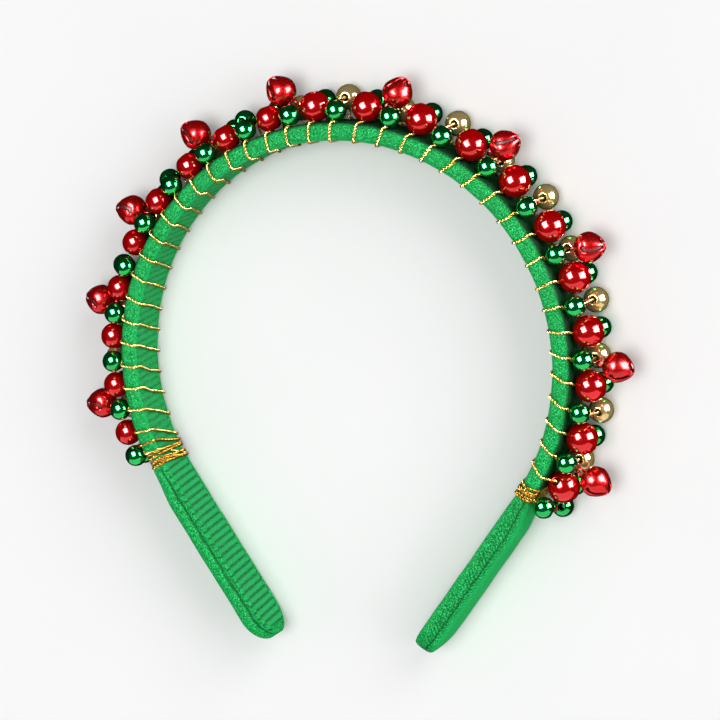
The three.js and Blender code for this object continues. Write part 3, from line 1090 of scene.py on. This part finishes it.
for side, coils in COILS.items():
    parts = [binding_coil(side, order, *coil) for order, coil in enumerate(coils)]
    name, replaced = f"thread_binding_{side}", [f"binding_{side}"]
    make_piece(name, *join(parts), bound_thread, "gold_thread", replaced)
    print(side, "coils:", len(parts))

# %% [markdown]
# ## Bells
# A bell is thin sheet metal, rounded at the root and drawn to a blunt point at the mouth. A
# long slit runs over the mouth and a short one crosses it, so that the sheet ends in four
# petals. Each petal is its own patch of points. The slits curl, start with a round hole and
# have edges that are rolled in, and a thickness is added at the end.

# %% One bell
BELL_RADIUS = 4.2
BELL_WALL = 0.35
WELD_WITHIN = 0.02
PETAL_COLUMNS = 14
PETAL_ROWS = 48
SLITS = {"long": 0.42, "short": 0.76}
SLIT_GAP = 0.1
SLIT_CURL = 0.32
HOLE_WIDTH = 0.19
HOLE_SIZE = 0.06
LEAST_OUT = 0.12
WIDEST = 0.6
LIP_WIDTH = 0.16
LIP_DEPTH = 0.06
MOUTH_DEPTH = 0.04
LOOP_RADIUS = 1.1
LOOP_SINK = 0.5
WIRE_RADIUS = 0.38
LOOP_SIDES, WIRE_SIDES = 24, 10


def bell_profile(share):
    """Distance along the bell and out from its axis, from the root (0) to the mouth (1)."""
    angle = math.pi * share
    along = -math.cos(angle)
    out = math.sin(angle) ** 0.9
    mouth = max(along, 0)
    return along * (1 + 0.1 * mouth), out * (1 - 0.3 * mouth ** 1.4)


def slit_width(share, start):
    """Half the width of a slit at a place along the bell. It starts with a round hole."""
    hole = HOLE_WIDTH * math.sqrt(max(1 - ((share - start - HOLE_SIZE) / HOLE_SIZE) ** 2, 0))
    opened = float(smooth(share, start + HOLE_SIZE * 0.6, start + HOLE_SIZE * 1.6))
    return max(hole, SLIT_GAP * opened)


def slit_bend(share, start):
    return SLIT_CURL * math.sin(math.pi * np.clip((share - start) / (1 - start), 0, 1))


def bell_shape():
    """Four petals at the origin, with the mouth up Z. The long slit lies along X."""
    across = np.linspace(0, 1, PETAL_COLUMNS + 1)
    petals = []
    for petal in range(4):
        starts = [SLITS["short" if (petal + edge) % 2 else "long"] for edge in (0, 1)]
        rows = []
        for share in np.linspace(0, 1, PETAL_ROWS + 1):
            along, out = bell_profile(share)
            narrow = max(out, LEAST_OUT)
            widths = [min(slit_width(share, start) / narrow, WIDEST) for start in starts]
            bends = [slit_bend(share, start) for start in starts]
            first = petal * math.pi / 2 + bends[0] + widths[0]
            last = (petal + 1) * math.pi / 2 + bends[1] - widths[1]
            angle = first + (last - first) * across
            rolled = hump(across, LIP_WIDTH) * (widths[0] > 0)
            rolled = rolled + hump(1 - across, LIP_WIDTH) * (widths[1] > 0)
            radius = BELL_RADIUS * out * (1 - LIP_DEPTH * rolled)
            height = BELL_RADIUS * (along - MOUTH_DEPTH * rolled * (share > 0.5))
            rows.append(ring_points(radius, angle, height))
        petals.append((rows, grid_faces(PETAL_ROWS + 1, PETAL_COLUMNS + 1)))
    return join(petals)


def loop_shape():
    """The wire loop at the root of a bell."""
    turn, tube = circle(LOOP_SIDES)[:, None], circle(WIRE_SIDES)
    reach = LOOP_RADIUS + WIRE_RADIUS * np.cos(tube)
    points = ring_points(reach, turn, WIRE_RADIUS * np.sin(tube))[..., [0, 2, 1]]
    points[..., 2] -= BELL_RADIUS + LOOP_RADIUS * LOOP_SINK
    return points, grid_faces(LOOP_SIDES, WIRE_SIDES, True, True)


# %% [markdown]
# A bell stands on the band with its mouth outward, leans as its row says, and is turned about
# its own axis. Then it moves to where the middle of its solid is.

# %% Hang the bells
def bell_turn(row):
    """The matrix that leans a bell and turns its slits, for rows of points."""
    outward, forward, up = band_axes(along_at(row["turn"]) + row["slid"])
    standing = Matrix((forward, -up, outward)).transposed()
    leaned = Matrix.Rotation(math.radians(-row["lean"]), 3, up)
    tipped = Matrix.Rotation(math.radians(row["tip"]), 3, forward)
    spun = Matrix.Rotation(math.radians(row["spin"]), 3, "Z")
    return np.array(leaned @ tipped @ standing @ spun).T


def add_thickness(piece, wall):
    weld = piece.modifiers.new("weld", "WELD")
    weld.merge_threshold = WELD_WITHIN * MM
    shell = piece.modifiers.new("shell", "SOLIDIFY")
    shell.thickness = wall * MM
    shell.offset = -1
    bpy.context.view_layer.update()


upright, faces = join([bell_shape(), loop_shape()])
bell_centres = {}
for row in BELL_ROWS:
    node = f"bell_{side_of(row['turn'])}_{(abs(row['turn']) + 2) // 4}"
    points = upright @ bell_turn(row)
    centre = np.array(middle_of(node)) - (points.min(axis=0) + points.max(axis=0)) / 2
    bell_centres[row["turn"]] = centre
    name = node.replace("bell", "jingle_bell")
    bell = make_piece(name, points + centre, faces, bell_look, "red_bell", [node])
    add_thickness(bell, BELL_WALL)

print("bells:", len(BELL_ROWS))

# %% [markdown]
# Something rattles inside a real bell, but the closed egg here is painted shade: it follows the
# bell's own profile, and its near-black finish makes the slits look dark from outside.

# %% The painted-shade inside of the bells
INSIDE_SHARE = 0.82
INSIDE_SIDES, INSIDE_RINGS = 20, 14


def inside_shape():
    turn = circle(INSIDE_SIDES)[:, None]
    profile = np.array([bell_profile(share) for share in np.linspace(0.02, 0.98, INSIDE_RINGS)])
    along, out = (profile * BELL_RADIUS * INSIDE_SHARE).T
    points = ring_points(out, turn, along)
    faces = [quad[::-1] for quad in grid_faces(INSIDE_SIDES, INSIDE_RINGS, close_rows=True)]
    grid = np.arange(INSIDE_SIDES * INSIDE_RINGS).reshape(INSIDE_SIDES, INSIDE_RINGS)
    return points.reshape(-1, 3), faces + [grid[::-1, 0].tolist(), grid[:, -1].tolist()]


egg, faces = inside_shape()
parts = [(egg @ bell_turn(row) + bell_centres[row["turn"]], faces) for row in BELL_ROWS]
make_piece("bell_insides", *join(parts), inside_shade_look, "red_bell")
print("bell insides:", len(parts))

# %% [markdown]
# ## Seed beads
# Tiny crumpled red beads fill the thread between the near bead and the far one. They are
# flattened rings with a few dents, and no two are turned alike.

# %% Seed beads
SEED_RADIUS, SEED_TUBE, SEED_HEIGHT = 0.6, 0.38, 0.42
SEED_SIDES, SEED_TUBE_SIDES = 16, 9
SEED_PLACES = (0.28, 0.55)
SEED_INWARD = 0.5
SEED_TUMBLE = 0.5


def seed_shape(phase):
    """A dented ring with its hole along Z."""
    turn, tube = circle(SEED_SIDES)[:, None], circle(SEED_TUBE_SIDES)
    dent = 1 + 0.14 * np.sin(3 * turn + phase) + 0.1 * np.sin(5 * turn - phase)
    reach = SEED_RADIUS + SEED_TUBE * np.cos(tube) * dent
    points = ring_points(reach, turn, SEED_HEIGHT * np.sin(tube) * dent)
    return points.reshape(-1, 3), grid_faces(SEED_SIDES, SEED_TUBE_SIDES, True, True)


for side, turns in far_rows.items():
    parts = []
    for turn in turns:
        near = near_places[turn] - near_bore(turn) * near_radius(turn) * 0.7
        far = far_places[turn] + far_bore(turn) * far_seat(turn)[1]
        outward, *_ = band_axes(along_at(turn))
        for place in SEED_PLACES:
            points, faces = seed_shape(noise.uniform(0, 6))
            tumble = Vector([noise.uniform(-1, 1) for _ in range(3)]) * SEED_TUMBLE
            aim = tumble + (far - near).normalized()
            where = near.lerp(far, place) - outward * SEED_INWARD
            parts.append((turned_to(aim, points) + np.array(where), faces))
    make_piece(f"seed_beads_{side}", *join(parts), seed_look, "red_bead")
    print(side, "seeds:", len(parts))

# %% [markdown]
# ## Floor, light and camera
# The headband lies on a white table, which the beads don't mirror: their undersides are dark.
# Two soft boxes hang over it, which the beads mirror as two bright windows. Three wide suns
# light the cloth and the table, and a pale surrounding fills the shadows.

# %% Floor
TABLE_HALF = 4.0


def build_floor():
    graph = Graph("white_table", Roughness=0.9, Specular_IOR_Level=0.0)
    mesh = bpy.data.meshes.new("table")
    signs = [(-1, -1), (1, -1), (1, 1), (-1, 1)]
    corners = [(x * TABLE_HALF, y * TABLE_HALF, 0) for x, y in signs]
    mesh.from_pydata(corners, [], [(0, 1, 2, 3)])
    paper = graph.mix(graph.noise(60.0, 1.0), "f3f3f3", "f7f7f7")
    mesh.materials.append(graph.wear(Base_Color=paper))
    table = add_object("table", mesh)
    table.visible_glossy = False
    table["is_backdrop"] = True


build_floor()

# %% [markdown]
# The camera stands 22 degrees off the vertical and far away, with a long lens. Its place is
# an angle and a distance from the point that it looks at.

# %% Camera
CAMERA_TILT = 22.11
CAMERA_TURN = 22.78
CAMERA_DISTANCE = 980.4
LENS = 178.5
SENSOR_WIDTH = 36
SEEN_UP_TO = 20
CAMERA_TARGET = Vector((arch_centre.x + 3.13, arch_centre.y - 0.16, MIDDLE))


def put(data, place, turned):
    """An object for a camera or a light, at a place in millimetres."""
    made = add_object(data.name, data)
    made.location = place * MM
    made.rotation_mode = "QUATERNION"
    made.rotation_quaternion = turned
    return made


tilt, swing = math.radians(CAMERA_TILT), math.radians(CAMERA_TURN)
to_camera = Vector((
    math.sin(tilt) * math.cos(swing), math.sin(tilt) * math.sin(swing), math.cos(tilt),
))
camera_right = Vector((0, 1, 0)).cross(to_camera).normalized()
camera_up = to_camera.cross(camera_right)
camera_axes = Matrix((camera_right, camera_up, to_camera)).transposed()

camera_data = bpy.data.cameras.new("camera")
camera_data.lens = LENS
camera_data.sensor_width = SENSOR_WIDTH
camera_data.clip_end = SEEN_UP_TO
camera_place = CAMERA_TARGET + to_camera * CAMERA_DISTANCE
bpy.context.scene.camera = put(camera_data, camera_place, camera_axes.to_quaternion())

# %% [markdown]
# The two windows in each bead give the directions of the soft boxes: a mirror ball shows a
# light halfway between the way to the camera and the way to the light. A card in front and a
# dim ceiling are mirrored too.

# %% Lights
# For each card, where a ball mirrors it (from its middle, as a share of its radius), its glow
# and its size
MIRRORED_CARDS = {
    "soft_box_left": ((-0.27, 0.11), 44, (270, 330)),
    "soft_box_right": ((0.46, 0.13), 40, (270, 330)),
    "front_card": ((0.0, -0.64), 1.3, (1500, 620)),
}
CARD_DISTANCE = 470
CEILING_GLOW, CEILING_SIZE, CEILING_HEIGHT = 0.1, (4000, 4000), 1600
# For each sun, the way to it and its strength
SUNS = {
    "sun_high": ((0, 0, 1), 1.48),
    "sun_right": ((0.87, 0, 0.5), 0.6),
    "sun_corner": ((0.61, 0.61, 0.5), 0.88),
}
SUN_WIDTH = 35
SURROUNDINGS_GLOW = 0.33


def hang(light, way, distance):
    """Hangs a light out of the camera's sight, a distance along the way to it."""
    lamp = put(light, CAMERA_TARGET + way * distance, way.to_track_quat("Z", "Y"))
    lamp.visible_camera = False
    return lamp


def add_card(name, way, distance, glow, size):
    """A soft box that only the glossy surfaces mirror."""
    light = bpy.data.lights.new(name, "AREA")
    light.shape = "RECTANGLE"
    light.size, light.size_y = [side * MM for side in size]
    light.energy = glow * math.pi * light.size * light.size_y
    light.cycles.max_bounces = 0
    hang(light, way, distance).visible_diffuse = False


def add_sun(name, way, strength):
    """A wide sun that only the dull surfaces see."""
    light = bpy.data.lights.new(name, "SUN")
    light.angle = math.radians(SUN_WIDTH)
    light.energy = strength
    hang(light, Vector(way).normalized(), CEILING_HEIGHT).visible_glossy = False


for name, ((x, y), glow, size) in MIRRORED_CARDS.items():
    facing = Vector((x, y, math.sqrt(1 - x * x - y * y)))
    way = camera_axes @ (facing * 2 * facing.z - Vector((0, 0, 1)))
    add_card(name, way, CARD_DISTANCE, glow, size)
add_card("ceiling", Vector((0, 0, 1)), CEILING_HEIGHT, CEILING_GLOW, CEILING_SIZE)
for name, (way, strength) in SUNS.items():
    add_sun(name, way, strength)


def build_surroundings():
    world = bpy.data.worlds.new("surroundings")
    bpy.context.scene.world = world
    world.use_nodes = True
    background = world.node_tree.nodes["Background"]
    background.inputs["Color"].default_value = (1, 1, 1, 1)
    background.inputs["Strength"].default_value = SURROUNDINGS_GLOW
    world.cycles_visibility.glossy = False


build_surroundings()
bpy.context.scene.view_settings.view_transform = "Standard"

# %% [markdown]
# ## Finish
# The dressed headband should be as large as the solids were.

# %% Sizes and finish
dressed_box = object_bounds()
boxes = {
    "cad": [list(corner) for corner in cad_box],
    "visual": [list(corner) for corner in dressed_box],
}
for label, (low, high) in boxes.items():
    print(label, [round((b - a) / MM, 2) for a, b in zip(low, high)])
